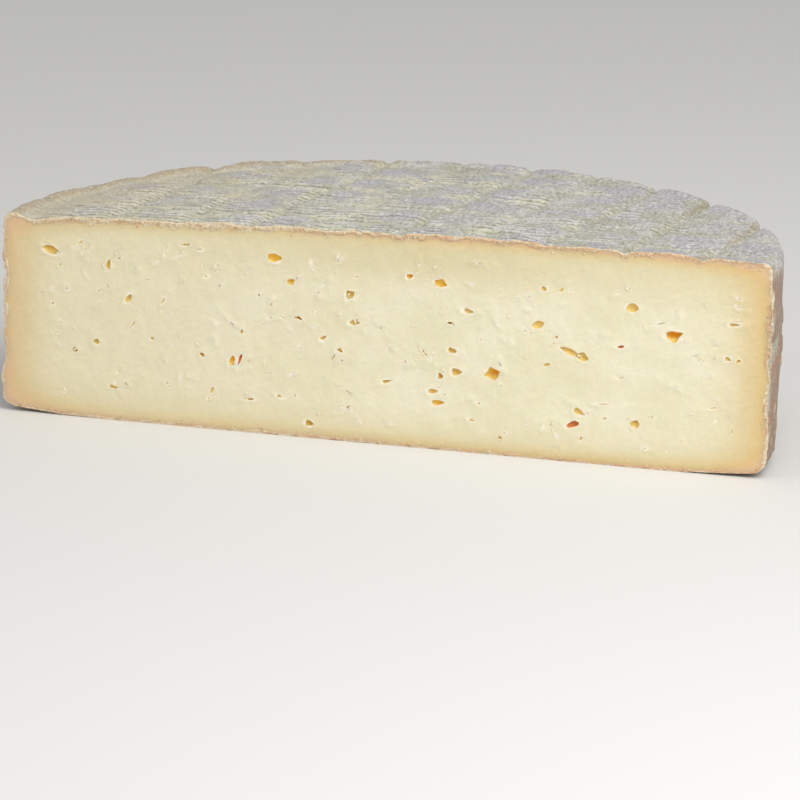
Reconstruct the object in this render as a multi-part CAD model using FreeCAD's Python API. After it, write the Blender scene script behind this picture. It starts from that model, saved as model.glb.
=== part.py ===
"""Half of a pressed tomme, cut straight down through the middle of the wheel.

One solid piece of cheese that rests on its base. The top face carries the quilted print
of the cloth it was pressed in, the rim stands up as a low lip, the side wall has shallow
hollows, and the cut face has open eyes.
Frame: X runs along the cut face, Y runs from the cut face into the wheel, Z is up.
The origin is in the middle of the half wheel's box, on the surface it rests on.
"""
import FreeCAD, Part
import math
import os

Vector = FreeCAD.Vector
UP = Vector(0, 0, 1)

# Wheel, in millimetres and degrees
wheel_diameter = 200.0
edge_height = 52.8          # base to the foot of the lip, all round the rim
crown_rise = 1.8            # how far the middle of the top stands above the lip's foot
top_tilt_across = 0.9       # the top face climbs towards +X, in degrees
top_tilt_back = 1.0         # and falls towards the back
wall_lean = 0.6             # the wall comes in this far at the base
wall_widest_share = 0.62    # height of the widest point, as a share of the edge height

# Rim
lip_height = 1.4            # lip's crest above its foot
lip_inset = 2.8             # crest of the lip, in from the side wall
lip_width = 7.0             # foot of the lip, in from the side wall
lip_fullness = 0.6          # share of its height that the lip has reached halfway up its slope
rim_radius = 3.2            # roundness of the top rim, outside the crest
base_rim_radius = 3.4
base_flat_diameter = 128.0  # flat middle of the base, which the wheel rests on
base_lift = 1.3             # how far the base has curled up where its rim begins

# Print of the press cloth on the top face
fold_pitch = 19.3
fold_lean = 6.0             # folds lean from the depth direction towards +X, in degrees
fold_phase = 4.5            # where the middle fold meets the cut face
fold_depth = 0.9
fold_tool_radius = 8.0
cross_fold_pitch = 19.3
cross_fold_phase = 12.5     # first cross fold behind the cut face
cross_fold_depth = 0.4

# Shallow hollows in the side wall
hollow_rows = (0.33, 0.52, 0.70)   # height of each row, as a share of the edge height
hollow_depths = (0.7, 0.9, 1.1)
hollow_count = 11           # hollows in a row, round half the wheel
hollow_radius = 26.0        # radius of the ball that would press each one
hollow_stagger = 0.25       # every second row lags by this share of a hollow's width
hollow_sway_turns = (2.3, 1.7)     # how the unevenness runs on, for each column and each row
hollow_depth_sway = 0.25    # share of the depth that varies
hollow_height_sway = 2.0    # and how far the hollows stray up and down

# Eyes that the cut has opened: place across as a share of the wheel's radius and place up
# as a share of the edge height, then length, width and tilt in degrees
eyes = (
    (-0.87, 0.84, 4.8, 2.4, -12),
    (-0.72, 0.79, 3.0, 1.9, 75),
    (-0.66, 0.63, 2.7, 1.5, 55),
    (-0.38, 0.36, 3.4, 2.6, 60),
    (-0.28, 0.90, 3.4, 2.6, 0),
    (-0.18, 0.08, 2.7, 2.1, -10),
    (-0.08, 0.74, 2.6, 2.4, 30),
    (0.15, 0.23, 4.0, 1.9, 10),
    (0.15, 0.83, 3.3, 2.6, 0),
    (0.20, 0.40, 3.6, 2.4, 0),
    (0.23, 0.71, 3.6, 1.7, -5),
    (0.29, 0.41, 3.6, 3.2, 15),
    (0.41, 0.67, 3.4, 2.4, 5),
    (0.50, 0.19, 3.6, 1.6, 20),
    (0.51, 0.54, 6.0, 2.4, -17),
    (0.64, 0.79, 3.1, 2.4, 0),
    (0.66, 0.22, 2.4, 1.9, 0),
    (0.75, 0.67, 4.6, 3.3, 0),
)

# Sizes worked out from those above
wheel_radius = wheel_diameter / 2
lip_crest_radius = wheel_radius - lip_inset
lip_foot_radius = wheel_radius - lip_width
lip_crest_z = edge_height + lip_height
crown_top_z = edge_height + crown_rise
crown_radius = (lip_foot_radius ** 2 + crown_rise ** 2) / (2 * crown_rise)
crown_centre_z = crown_top_z - crown_radius
blank_start_angle = -75
top_start_angle = -110
spare = 3 * rim_radius      # how far cutting forms reach past the wheel
blank_top_z = crown_top_z + wheel_radius * math.sin(math.radians(top_tilt_across)) + spare


def arc(start, middle, end):
    """An arc edge through three (radius, height) points of a turned profile."""
    points = [Vector(radius, 0, height) for radius, height in (start, middle, end)]
    return Part.Arc(*points).toShape()


def line(start, end):
    """A straight edge between two (radius, height) points of a turned profile."""
    return Part.LineSegment(Vector(start[0], 0, start[1]), Vector(end[0], 0, end[1])).toShape()


def turned(edges, start_angle):
    """The solid that a closed profile sweeps in one turn about the wheel's axis.

    start_angle, in degrees from +X, is where the turn starts. It points away from the half
    that is kept, and each turned form has its own, so that no two seams lie together.
    """
    face = Part.Face(Part.Wire(edges))
    face.rotate(Vector(), UP, start_angle)
    return face.revolve(Vector(), UP, 360)


def wheel_blank():
    """Base, base rim and side wall, left too tall for the top face to be cut from it."""
    wall_foot = wheel_radius - wall_lean
    rim_start = wall_foot - base_rim_radius
    flat_edge = base_flat_diameter / 2
    round_off = base_rim_radius * (1 - math.sqrt(0.5))
    wall_start = (wall_foot, base_lift + base_rim_radius)
    rim_middle = (wall_foot - round_off, base_lift + round_off)
    curl_middle = ((flat_edge + rim_start) / 2, base_lift / 4)
    widest = (wheel_radius, edge_height * wall_widest_share)
    wall_end = (wheel_radius - wall_lean / 2, blank_top_z)
    return turned([
        line((0, 0), (flat_edge, 0)),
        arc((flat_edge, 0), curl_middle, (rim_start, base_lift)),
        arc((rim_start, base_lift), rim_middle, wall_start),
        arc(wall_start, widest, wall_end),
        line(wall_end, (0, blank_top_z)),
        line((0, blank_top_z), (0, 0)),
    ], blank_start_angle)


def top_form():
    """Everything under the top face: the crown, the lip and the round of the rim."""
    crown_half = lip_foot_radius / 2
    crown_middle = (crown_half, crown_centre_z + math.sqrt(crown_radius ** 2 - crown_half ** 2))
    lip_foot = (lip_foot_radius, edge_height)
    lip_shoulder = ((lip_foot_radius + lip_crest_radius) / 2, edge_height + lip_fullness * lip_height)
    lip_crest = (lip_crest_radius, lip_crest_z)
    turn = rim_radius * math.sqrt(0.5)
    rim_middle = (lip_crest_radius + turn, lip_crest_z - rim_radius + turn)
    rim_end = (lip_crest_radius + rim_radius, lip_crest_z - rim_radius)
    clear = wheel_radius + spare
    shoulder = (clear, lip_crest_z - spare)
    floor = -base_rim_radius - wheel_radius * math.sin(math.radians(top_tilt_across))
    return turned([
        arc((0, crown_top_z), crown_middle, lip_foot),
        arc(lip_foot, lip_shoulder, lip_crest),
        arc(lip_crest, rim_middle, rim_end),
        line(rim_end, shoulder),
        line(shoulder, (clear, floor)),
        line((clear, floor), (0, floor)),
        line((0, floor), (0, crown_top_z)),
    ], top_start_angle)


def fold(offset, turn, depth):
    """A long round bar, bent to the crown, that cuts one fold of the press cloth.

    offset is the fold's distance from the wheel's axis, and turn is its direction in
    degrees from the depth direction.
    """
    bend_radius = math.sqrt(crown_radius ** 2 - offset ** 2) + fold_tool_radius - depth
    reach = math.degrees(math.asin((wheel_radius + fold_tool_radius) / crown_radius))
    crown_centre = Vector(offset, 0, crown_centre_z)
    end_centre = Vector(offset, 0, crown_centre_z + bend_radius)
    end = Part.Face(Part.Wire(Part.makeCircle(fold_tool_radius, end_centre, Vector(0, 1, 0))))
    end.rotate(crown_centre, Vector(1, 0, 0), reach)
    bar = end.revolve(crown_centre, Vector(-1, 0, 0), 2 * reach)
    bar.rotate(Vector(), UP, -turn)
    return bar


def folds():
    """Both sets of folds: the deep set in the depth direction and the faint cross set."""
    bars = []
    steps = math.ceil(wheel_radius / fold_pitch)
    for step in range(-steps, steps + 1):
        offset = (fold_phase + step * fold_pitch) * math.cos(math.radians(fold_lean))
        if abs(offset) < lip_crest_radius:
            bars.append(fold(offset, fold_lean, fold_depth))
    behind = cross_fold_phase
    while behind < lip_crest_radius:
        bars.append(fold(behind, -90, cross_fold_depth))
        behind += cross_fold_pitch
    return bars


def side_hollows():
    """Balls that press the shallow hollows, in staggered rows round the side wall."""
    balls = []
    step_angle = 180 / hollow_count
    column_turn, row_turn = hollow_sway_turns
    for row, (height_share, depth) in enumerate(zip(hollow_rows, hollow_depths)):
        for column in range(hollow_count + 1):
            angle = math.radians((column - hollow_stagger * (row % 2)) * step_angle)
            sway = math.sin(column_turn * column + row_turn * row)
            pressed = depth * (1 - hollow_depth_sway * (1 - sway))
            distance = wheel_radius + hollow_radius - pressed
            height = edge_height * height_share + hollow_height_sway * sway
            centre = Vector(-distance * math.cos(angle), distance * math.sin(angle), height)
            balls.append(Part.makeSphere(hollow_radius, centre))
    return balls


def eye(across, up, length, width, tilt):
    """A long round hollow, half of it in front of the cut face, where its seam lies too."""
    half_length = length / 2
    outline = Part.Ellipse(Vector(), half_length, width / 2)
    front_half = Part.Wire([
        Part.ArcOfEllipse(outline, math.pi, 2 * math.pi).toShape(),
        Part.LineSegment(Vector(half_length, 0, 0), Vector(-half_length, 0, 0)).toShape(),
    ])
    hollow = Part.Face(front_half).revolve(Vector(), Vector(1, 0, 0), 360)
    hollow.rotate(Vector(), Vector(0, -1, 0), tilt)
    hollow.translate(Vector(across * wheel_radius, 0, up * edge_height))
    return hollow


def half_wheel():
    """The cut, pressed and ripened half wheel, with the origin under its middle."""
    top = top_form()
    for bar in folds():
        top = top.cut(bar)
    pivot = Vector(0, 0, crown_top_z)
    top.rotate(pivot, Vector(0, 1, 0), -top_tilt_across)
    top.rotate(pivot, Vector(1, 0, 0), -top_tilt_back)
    wheel = wheel_blank().common(top)
    back_half = Part.makeBox(
        2 * wheel_diameter, wheel_diameter, 2 * blank_top_z,
        Vector(-wheel_diameter, 0, -edge_height / 2))
    cheese = wheel.common(back_half)
    cheese = cheese.cut(side_hollows())
    cheese = cheese.cut([eye(*measures) for measures in eyes])
    cheese.translate(Vector(0, -wheel_radius / 2, 0))
    return cheese.Solids[0]


os.makedirs("parts", exist_ok=True)
shape = half_wheel()
shape.exportStep("parts/half_wheel.step")
print("valid", shape.isValid(), "faces", len(shape.Faces), "volume cm3", shape.Volume / 1000)
print("box", shape.BoundBox)
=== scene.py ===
import math

import bmesh
import bpy
import numpy as np
from mathutils import Matrix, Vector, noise


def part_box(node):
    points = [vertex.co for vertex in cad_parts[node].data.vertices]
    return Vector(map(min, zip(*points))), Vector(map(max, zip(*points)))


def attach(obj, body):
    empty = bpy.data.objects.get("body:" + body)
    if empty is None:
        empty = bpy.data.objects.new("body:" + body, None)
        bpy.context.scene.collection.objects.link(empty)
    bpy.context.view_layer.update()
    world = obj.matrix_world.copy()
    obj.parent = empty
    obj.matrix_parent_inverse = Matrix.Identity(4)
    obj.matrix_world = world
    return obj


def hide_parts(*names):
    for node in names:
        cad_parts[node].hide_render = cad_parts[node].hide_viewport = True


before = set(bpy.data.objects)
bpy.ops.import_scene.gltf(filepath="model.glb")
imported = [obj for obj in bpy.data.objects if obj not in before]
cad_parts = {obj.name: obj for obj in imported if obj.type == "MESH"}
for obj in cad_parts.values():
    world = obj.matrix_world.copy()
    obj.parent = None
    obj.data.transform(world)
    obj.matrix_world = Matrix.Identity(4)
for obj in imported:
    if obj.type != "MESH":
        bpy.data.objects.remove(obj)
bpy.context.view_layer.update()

# --- Rind --------------------------------------------------------------------------------
# The dry, downy skin of the wheel, grown on the cheese as it ripened: a quilted top that
# the press cloth printed, a low lip, a hollowed side wall and a base that has curled up at
# its rim. It is one closed body with a tray in its front, and the paste fills the tray.
#
# Lengths are in millimetres, with "across" along the cut face, "behind" into the wheel and
# "up" from the base, until put_in_place turns a finished piece into the frame's metres.
MM = 0.001
low_corner, high_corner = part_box("half_wheel")
wheel_radius = (high_corner.x - low_corner.x) / 2 / MM
cut_plane = low_corner.y

edge_height = 52.8
crown_rise = 1.8
tilt_across = math.tan(math.radians(0.9))
tilt_back = math.tan(math.radians(1.0))
lip_height = 1.4
lip_width = 7.0
rim_round = 3.2
crest_radius = wheel_radius - rim_round
crest_up = edge_height + lip_height
rim_end_up = crest_up - rim_round
wall_lean = 0.6
wall_widest_up = 0.62 * edge_height
base_round = 3.4
base_lift = 1.3
base_flat_radius = 64.0
# How many places the outline has along the top, each tight turn, the wall and the base
crown_places = 700
turn_places = 29
wall_places = 350
curl_places = 200
flat_places = 300


def turned_outline():
    """Radius and height of the wheel's outline, from the top's middle out and down to the base."""
    foot = wheel_radius - lip_width
    crown_radius = np.linspace(0, foot, crown_places)
    crown_up = edge_height + crown_rise * (1 - (crown_radius / foot) ** 2)
    share = np.linspace(0, 1, turn_places + 1)[1:]
    lip_radius = foot + share * (crest_radius - foot)
    lip_up = edge_height + lip_height * share ** 2 * (3 - 2 * share)
    turn = share * math.pi / 2
    rim_radius = crest_radius + rim_round * np.sin(turn)
    rim_up = crest_up - rim_round * (1 - np.cos(turn))
    wall_up = np.linspace(rim_end_up, base_lift + base_round, wall_places)[1:]
    below_widest = np.clip((wall_widest_up - wall_up) / wall_widest_up, 0, 1)
    wall_radius = wheel_radius - wall_lean * (below_widest * 1.1) ** 2
    base_centre = wall_radius[-1] - base_round
    foot_radius = base_centre + base_round * np.cos(turn)
    foot_up = base_lift + base_round * (1 - np.sin(turn))
    curl_radius = np.linspace(base_centre, base_flat_radius, curl_places)[1:]
    curl = (curl_radius - base_flat_radius) / (base_centre - base_flat_radius)
    flat_radius = np.linspace(base_flat_radius, 0, flat_places)[1:]
    radius = np.concatenate([
        crown_radius, lip_radius, rim_radius, wall_radius, foot_radius, curl_radius, flat_radius])
    up = np.concatenate([
        crown_up, lip_up, rim_up, wall_up, foot_up, base_lift * curl ** 2, 0 * flat_radius])
    marks = np.cumsum([len(crown_radius) + len(share) * 2 - 1, len(wall_up) + len(share), len(curl)])
    return radius, up, marks


outline_radius, outline_up, (rim_mark, foot_mark, flat_mark) = turned_outline()
outline_run = np.concatenate([[0], np.cumsum(np.hypot(np.diff(outline_radius), np.diff(outline_up)))])
outline_growth = np.gradient(outline_radius, outline_run)
outline_fall = np.gradient(outline_up, outline_run)


def lumps(places, size, seed):
    """Smooth unevenness between about -1 and 1, in lumps of that size, at each place."""
    shifted = (places / size + 13.7 * seed).tolist()
    return np.array([noise.noise(place) for place in shifted])


def smooth_step(values, start, end):
    """0 before start, 1 after end, and a smooth climb between them."""
    share = np.clip((values - start) / (end - start), 0, 1)
    return share * share * (3 - 2 * share)


fold_pitch = 19.3
fold_lean = math.radians(6)
fold_phase = 4.5
cross_fold_phase = 12.5
ridge_pitch = 2.75


def cloth_print(across, behind):
    """The print of the press cloth on the top face.

    Returns how high it stands, how near each place is to a crease, and the cloth's ribs.
    """
    places = np.column_stack([across, behind, np.zeros_like(across)])
    wander = 1.5 * lumps(places, 26, 1) + 0.5 * lumps(places, 6, 41)
    leaned = (across * math.cos(fold_lean) - behind * math.sin(fold_lean) + wander) / math.cos(fold_lean)
    fold_at = (leaned - fold_phase) / fold_pitch
    nearest = np.round(fold_at)
    off_fold = (fold_at - nearest) * fold_pitch
    fold_strength = 0.6 + 0.25 * np.sin(2.9 * nearest + 1.2) + 0.5 * (nearest > 2.5)
    fold_strength = np.clip(fold_strength + 0.5 * lumps(places, 17, 42), 0.15, 1.3)
    crease = np.exp(-((off_fold / 1.3) ** 2)) * fold_strength
    # The slope on one side of each crease, towards the right of the top, which gets brown painted shade
    shaded_bank = np.exp(-(((off_fold + 1.3) / 1.3) ** 2)) * fold_strength * smooth_step(across, 0, 60)
    pillow = np.abs(np.sin(math.pi * fold_at)) ** 0.7 * np.clip(fold_strength, 0.4, 1.1)
    cross_at = (behind - cross_fold_phase + 2.4 * lumps(places, 21, 2) + 0.06 * across) / fold_pitch
    off_cross = (cross_at - np.round(cross_at)) * fold_pitch
    cross_crease = np.exp(-((off_cross / 1.9) ** 2)) * np.clip(0.55 + 0.9 * lumps(places, 19, 3), 0, 1)
    cross_pillow = np.abs(np.sin(math.pi * cross_at)) ** 0.8
    arch = 2.6 * pillow + 1.8 * lumps(places, 10, 4) + 0.5 * lumps(places, 3, 43)
    rib = np.cos(2 * math.pi * (behind + arch) / ridge_pitch)
    near_cut = smooth_step(-behind, -55, -5) * smooth_step(-across, -70, 0)
    rib_strength = 0.3 + 1.1 * lumps(places, 15, 5) + 0.75 * near_cut + 0.8 * lumps(places, 5, 45)
    off_rim = 1 - smooth_step(np.hypot(across, behind), wheel_radius - 17, wheel_radius - 5)
    rib *= np.clip(rib_strength, 0.08, 1.0) * (0.15 + 0.85 * off_rim)
    depth = 0.95 * (0.45 + 0.55 * smooth_step(behind, 0, 7))
    height = 0.55 * pillow - depth * crease + 0.3 * cross_pillow - 0.45 * cross_crease - 0.35
    height += 0.2 * rib + 0.5 * lumps(places, 34, 6) + 0.24 * lumps(places, 7, 7)
    height += 0.15 * lumps(places, 2.6, 8) + 0.12 * lumps(places, 1.3, 9)
    middle = smooth_step(-np.abs(across), -75, -35) * smooth_step(-behind, -14, 0)
    height += 0.75 * middle * lumps(places, 6.5, 44)
    return height, np.clip(crease + 0.7 * cross_crease, 0, 1), rib, pillow * cross_pillow, shaded_bank


hollow_rows = (0.33, 0.52, 0.70)
hollow_depths = (0.7, 0.9, 1.1)
hollow_count = 11
hollow_ball = 26.0
hollow_stagger = 0.25
hollow_stretch = 1.25
hollow_slant = math.radians(52)


def wall_print(angle, up):
    """The marks on the side wall: how far it stands out, its hollows and its torn flakes."""
    arc = angle * wheel_radius
    places = np.column_stack([arc, up, np.zeros_like(arc)])
    out = 0.55 * lumps(places, 28, 11) + 0.3 * lumps(places, 9, 12)
    slant_cos, slant_sin = math.cos(hollow_slant), math.sin(hollow_slant)
    along = arc * slant_cos + up * slant_sin
    athwart = up * slant_cos - arc * slant_sin
    left = smooth_step(angle, 2.6, 3.1)
    out += 1.3 * left * lumps(places, 5.5, 17)
    warped_along = along + 4.0 * lumps(places, 8, 18)
    warped_athwart = athwart + 3.5 * lumps(places, 7, 19)
    hollow = np.zeros_like(arc)
    for row, (height_share, depth) in enumerate(zip(hollow_rows, hollow_depths)):
        for column in range(hollow_count + 1):
            centre = math.pi * (1 - (column - hollow_stagger * (row % 2)) / hollow_count)
            sway = math.sin(2.3 * column + 1.7 * row)
            deep = depth * (0.75 + 0.25 * sway)
            centre_up = edge_height * height_share + 2.0 * sway
            centre_along = centre * wheel_radius * slant_cos + centre_up * slant_sin
            centre_athwart = centre_up * slant_cos - centre * wheel_radius * slant_sin
            off_along = (warped_along - centre_along) / hollow_stretch
            off_athwart = hollow_stretch * (warped_athwart - centre_athwart)
            dent = np.clip(deep - (off_along ** 2 + off_athwart ** 2) / (2 * hollow_ball), 0, None)
            out -= dent
            hollow = np.maximum(hollow, dent / deep)
    torn = lumps(np.column_stack([warped_along / 5.0, warped_athwart / 1.3, 0 * arc]), 1.0, 13)
    torn *= smooth_step(lumps(places, 13, 14), -0.1, 0.35)
    flake = smooth_step(torn, 0.16, 0.42)
    out += 0.4 * flake + 0.14 * lumps(places, 3.1, 15) + 0.09 * lumps(places, 1.4, 16)
    return out, hollow, flake


def skin_print(across, behind, up, level_normal):
    """How far the skin stands out at each place of the whole outside, with its colour maps."""
    angle = np.arctan2(behind, across)
    top_share = smooth_step(up, rim_end_up - 2.5, crest_up - 0.6) * (level_normal > -0.5)
    base_share = smooth_step(-level_normal, 0.2, 0.9)
    top_height, crease, rib, puffed, shaded_bank = cloth_print(across, behind)
    wall_out, hollow, flake = wall_print(angle, up)
    wall_share = (1 - top_share) * (1 - base_share)
    places = np.column_stack([across, behind, up])
    out = top_share * top_height + wall_share * wall_out + base_share * 0.25 * lumps(places, 6, 21)
    notch = smooth_step(up, rim_end_up - 9, rim_end_up + 1) * wall_share * crease
    lip = smooth_step(np.hypot(across, behind), wheel_radius - lip_width, crest_radius)
    lip *= smooth_step(-across, -20, 60)
    maps = {
        "lip": lip * top_share,
        "crease": crease * top_share,
        "rib": rib * top_share,
        "puffed": puffed * top_share,
        "shaded_bank": shaded_bank * top_share,
        "hollow": hollow * wall_share,
        "flake": flake * wall_share,
        "wall": 1 - top_share,
    }
    return out - 0.8 * notch, maps


def lip_cut(across, behind, up):
    """How much lower the lip is: it stands on the left of the cut and fades to the right."""
    radius = np.hypot(across, behind)
    on_lip = smooth_step(radius, wheel_radius - lip_width, crest_radius) * smooth_step(up, 40, edge_height)
    towards_right = 0.5 + 0.5 * across / wheel_radius
    return on_lip * lip_height * (0.1 + 0.8 * towards_right)


def tilted(across, behind, up):
    """Heights after the tilt of the top face, which fades out down to the base."""
    share = np.clip(up / edge_height, 0, 1)
    return up + (tilt_across * across - tilt_back * behind) * share - lip_cut(across, behind, up)


def put_in_place(piece):
    """Turns a finished piece's mesh from the cheese's millimetres into the frame's metres."""
    piece.data.transform(Matrix.Translation((0, cut_plane, 0)) @ Matrix.Scale(MM, 4))
    piece.data.update()


def read_places(piece):
    """The piece's vertices as an array with one row each."""
    places = np.empty(len(piece.data.vertices) * 3, np.float32)
    piece.data.vertices.foreach_get("co", places)
    return places.reshape(-1, 3).astype(float)


def write_places(piece, places):
    """Moves the piece's vertices to those places."""
    piece.data.vertices.foreach_set("co", places.astype(np.float32).ravel())
    piece.data.update()


def write_map(piece, name, values):
    """Stores a number for each vertex, for the material to read."""
    piece.data.attributes.new(name, "FLOAT", "POINT")
    piece.data.attributes[name].data.foreach_set("value", values.astype(np.float32))


def new_grid(name, columns, rows):
    """A flat square grid from -1 to 1, alone in the selection."""
    bpy.ops.object.select_all(action="DESELECT")
    bpy.ops.mesh.primitive_grid_add(x_subdivisions=columns, y_subdivisions=rows, size=2)
    piece = bpy.context.object
    piece.name = name
    piece.data.name = name
    return piece


def inset_outline(inset):
    """The wheel's outline moved inwards: top and base heights by radius, and radius by height."""
    radius = outline_radius + outline_fall * inset
    up = outline_up - outline_growth * inset
    top = slice(0, rim_mark)
    wall = slice(rim_mark, foot_mark)
    base = slice(foot_mark - turn_places - 1, None)

    def top_at(across):
        return np.interp(np.abs(across), radius[top], up[top])

    def base_at(across):
        return np.interp(np.abs(across), radius[base][::-1], up[base][::-1])

    def radius_at(height):
        return np.interp(height, up[wall][::-1], radius[wall][::-1])

    return top_at, base_at, radius_at


def select_open_edges():
    """In edit mode, selects the edges that have a face on one side only."""
    bpy.ops.mesh.select_all(action="DESELECT")
    bpy.ops.mesh.select_non_manifold(extend=False, use_wire=False, use_multi_face=False,
                                     use_non_contiguous=False, use_verts=False)


def leave_edit_mode():
    """Leaves edit mode with all faces pointing outwards."""
    bpy.ops.mesh.select_all(action="SELECT")
    bpy.ops.mesh.normals_make_consistent(inside=False)
    bpy.ops.object.mode_set(mode="OBJECT")


top_columns = 268
top_rows = 184
wall_rows = 54
curl_rows = 5
front_cuts = 100
weld = 0.01
# Rings of the tray's edge: how far each is in from the cut edge, and how far behind it
tray_rings = ((0.35, -0.14), (0.75, -0.12), (0.99, 0.3), (1.2, 6.0))

rind = new_grid("rind", top_columns, top_rows)
grid = read_places(rind)
square_across = grid[:, 0]
square_behind = (grid[:, 1] + 1) / 2


def square_to_disc(across, behind):
    """Moves the places of a square onto the round disc that touches its sides."""
    return across * np.sqrt(1 - behind ** 2 / 2), behind * np.sqrt(1 - across ** 2 / 2)


def wheel_form(run, angle):
    """The even turned form: places at that run along the outline and that angle."""
    radius = np.interp(run, outline_run, outline_radius)
    up = np.interp(run, outline_run, outline_up)
    return np.column_stack([radius * np.cos(angle), radius * np.sin(angle), up])


disc_across, disc_behind = square_to_disc(square_across, square_behind)
rim_run = outline_run[rim_mark]
disc_run = np.hypot(disc_across, disc_behind) * rim_run
write_places(rind, wheel_form(disc_run, np.arctan2(disc_behind, disc_across)))

side_up = np.linspace(0, 1, top_rows + 1)
side_back = np.linspace(1, -1, top_columns + 1)
edge_across = np.concatenate([np.ones(top_rows), side_back, -np.ones(top_rows)])
edge_behind = np.concatenate([side_up[:-1], np.ones(top_columns + 1), side_up[-2::-1]])
edge_disc = square_to_disc(edge_across, edge_behind)
edge_angles = np.arctan2(edge_disc[1], edge_disc[0])
wall = new_grid("wall", len(edge_angles) - 1, wall_rows + curl_rows)
grid = read_places(wall)
column = np.round((1 + grid[:, 0]) / 2 * (len(edge_angles) - 1)).astype(int)
row = (1 - grid[:, 1]) / 2 * (wall_rows + curl_rows)
run_marks = [rim_run, outline_run[foot_mark], outline_run[flat_mark - 1]]
wall_run = np.interp(row, [0, wall_rows, wall_rows + curl_rows], run_marks)
write_places(wall, wheel_form(wall_run, edge_angles[column]))
rind.select_set(True)
bpy.context.view_layer.objects.active = rind
bpy.ops.object.join()

bpy.ops.object.mode_set(mode="EDIT")
bpy.ops.mesh.select_mode(type="VERT")
bpy.ops.mesh.select_all(action="SELECT")
bpy.ops.mesh.remove_doubles(threshold=weld)
bpy.ops.mesh.select_all(action="DESELECT")
mesh = bmesh.from_edit_mesh(rind.data)
for vertex in mesh.verts:
    if vertex.co.y < weld and vertex.co.z < weld:
        vertex.select_set(True)
bpy.ops.mesh.edge_face_add()
bpy.ops.mesh.subdivide(number_cuts=front_cuts)
bpy.ops.mesh.select_mode(type="EDGE")
bpy.ops.mesh.select_all(action="DESELECT")
mesh = bmesh.from_edit_mesh(rind.data)
for edge in mesh.edges:
    if edge.verts[0].co.z < weld and edge.verts[1].co.z < weld:
        edge.select_set(True)
bpy.ops.mesh.edge_face_add()
leave_edit_mode()

places = read_places(rind)
normals = np.empty(len(places) * 3, np.float32)
rind.data.vertices.foreach_get("normal", normals)
normals = normals.reshape(-1, 3).astype(float)
on_cut = places[:, 1] < weld
normals[on_cut, 1] = 0
even_edge = places[on_cut]
stand_out, maps = skin_print(*places.T, normals[:, 2])
places[:, 2] = tilted(*places.T)
places += normals * stand_out[:, None]
places[on_cut, 1] += 0.22 * lumps(places[on_cut], 1.6, 22)
on_base = normals[:, 2] < -0.9
places[on_base, 2] = np.maximum(places[on_base, 2], 0)
write_places(rind, places)
for name, values in maps.items():
    write_map(rind, name, values)

# The loop of the cut edge, in order of its run from the top's middle, negative on the left
off_radius = np.abs(even_edge[:, 0])[:, None] - outline_radius
off_outline = np.hypot(off_radius, even_edge[:, 2][:, None] - outline_up)
cut_run = outline_run[off_outline.argmin(axis=1)] * np.where(even_edge[:, 0] < 0, -1, 1)
cut_order = np.argsort(cut_run)
cut_run = cut_run[cut_order]
cut_edge = places[on_cut][cut_order]


def inwards_from(across, up):
    """The direction into the cheese, square to the outline, at places near it on the cut face."""
    level = up - tilt_across * across * np.clip(up / edge_height, 0, 1)
    apart = np.hypot(np.abs(across)[:, None] - outline_radius, level[:, None] - outline_up)
    nearest = apart.argmin(axis=1)
    return outline_fall[nearest] * np.sign(across), -outline_growth[nearest]


ring_parts = []
for inwards, backwards in tray_rings:
    bpy.ops.object.mode_set(mode="EDIT")
    select_open_edges()
    bpy.ops.mesh.extrude_edges_move()
    bpy.ops.object.mode_set(mode="OBJECT")
    ring = np.empty(len(rind.data.vertices), bool)
    rind.data.vertices.foreach_get("select", ring)
    places = read_places(rind)
    if inwards == tray_rings[0][0]:
        edge_places = places[ring]
        step_across, step_up = inwards_from(edge_places[:, 0], edge_places[:, 2])
        fray = 0.55 + 1.2 * lumps(edge_places, 4.2, 23) + 0.5 * lumps(edge_places, 1.3, 25)
        fray = np.clip(fray, 0.45, 1.6)
        in_middle = smooth_step(-np.abs(edge_places[:, 0] + 10), -70, -30)
        fray *= 1 + 0.5 * in_middle * smooth_step(edge_places[:, 2], 30, 45)
    reach_in = inwards * (fray if inwards < 1 else 1.5)
    places[ring, 0] = edge_places[:, 0] + step_across * reach_in
    places[ring, 2] = edge_places[:, 2] + step_up * reach_in
    places[ring, 1] = backwards * fray if backwards < 1 else backwards
    if inwards < 1:
        places[ring, 1] += 0.14 * lumps(edge_places, 1.1, 24 + inwards)
    write_places(rind, places)
    ring_parts.append(np.flatnonzero(ring))
bpy.ops.object.mode_set(mode="EDIT")
bpy.ops.mesh.edge_face_add()
leave_edit_mode()
torn_edge = np.zeros(len(rind.data.vertices))
for number, part in enumerate(ring_parts):
    torn_edge[part] = (number + 1) / 3
write_map(rind, "torn_edge", np.clip(torn_edge, 0, 1))
put_in_place(rind)
bpy.ops.object.shade_smooth()


class Signal:
    """A number that varies over a surface: a shader socket that takes Python's arithmetic."""

    def __init__(self, finish, socket):
        self.finish = finish
        self.socket = socket

    def math(self, operation, *others):
        inputs = dict(enumerate((self,) + others))
        return self.finish.number("Math", {"operation": operation}, inputs)

    def __add__(self, other):
        return self.math("ADD", other)

    def __sub__(self, other):
        return self.math("SUBTRACT", other)

    def __rsub__(self, other):
        return self.math("MULTIPLY", -1.0).math("ADD", other)

    def __mul__(self, other):
        return self.math("MULTIPLY", other)

    __radd__ = __add__
    __rmul__ = __mul__

    def step(self, start, end):
        """0 where the signal is under start, 1 over end, and smooth between them."""
        sockets = {"Value": self, "From Min": start, "From Max": end}
        return self.finish.number("MapRange", {"interpolation_type": "SMOOTHSTEP"}, sockets)


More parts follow.
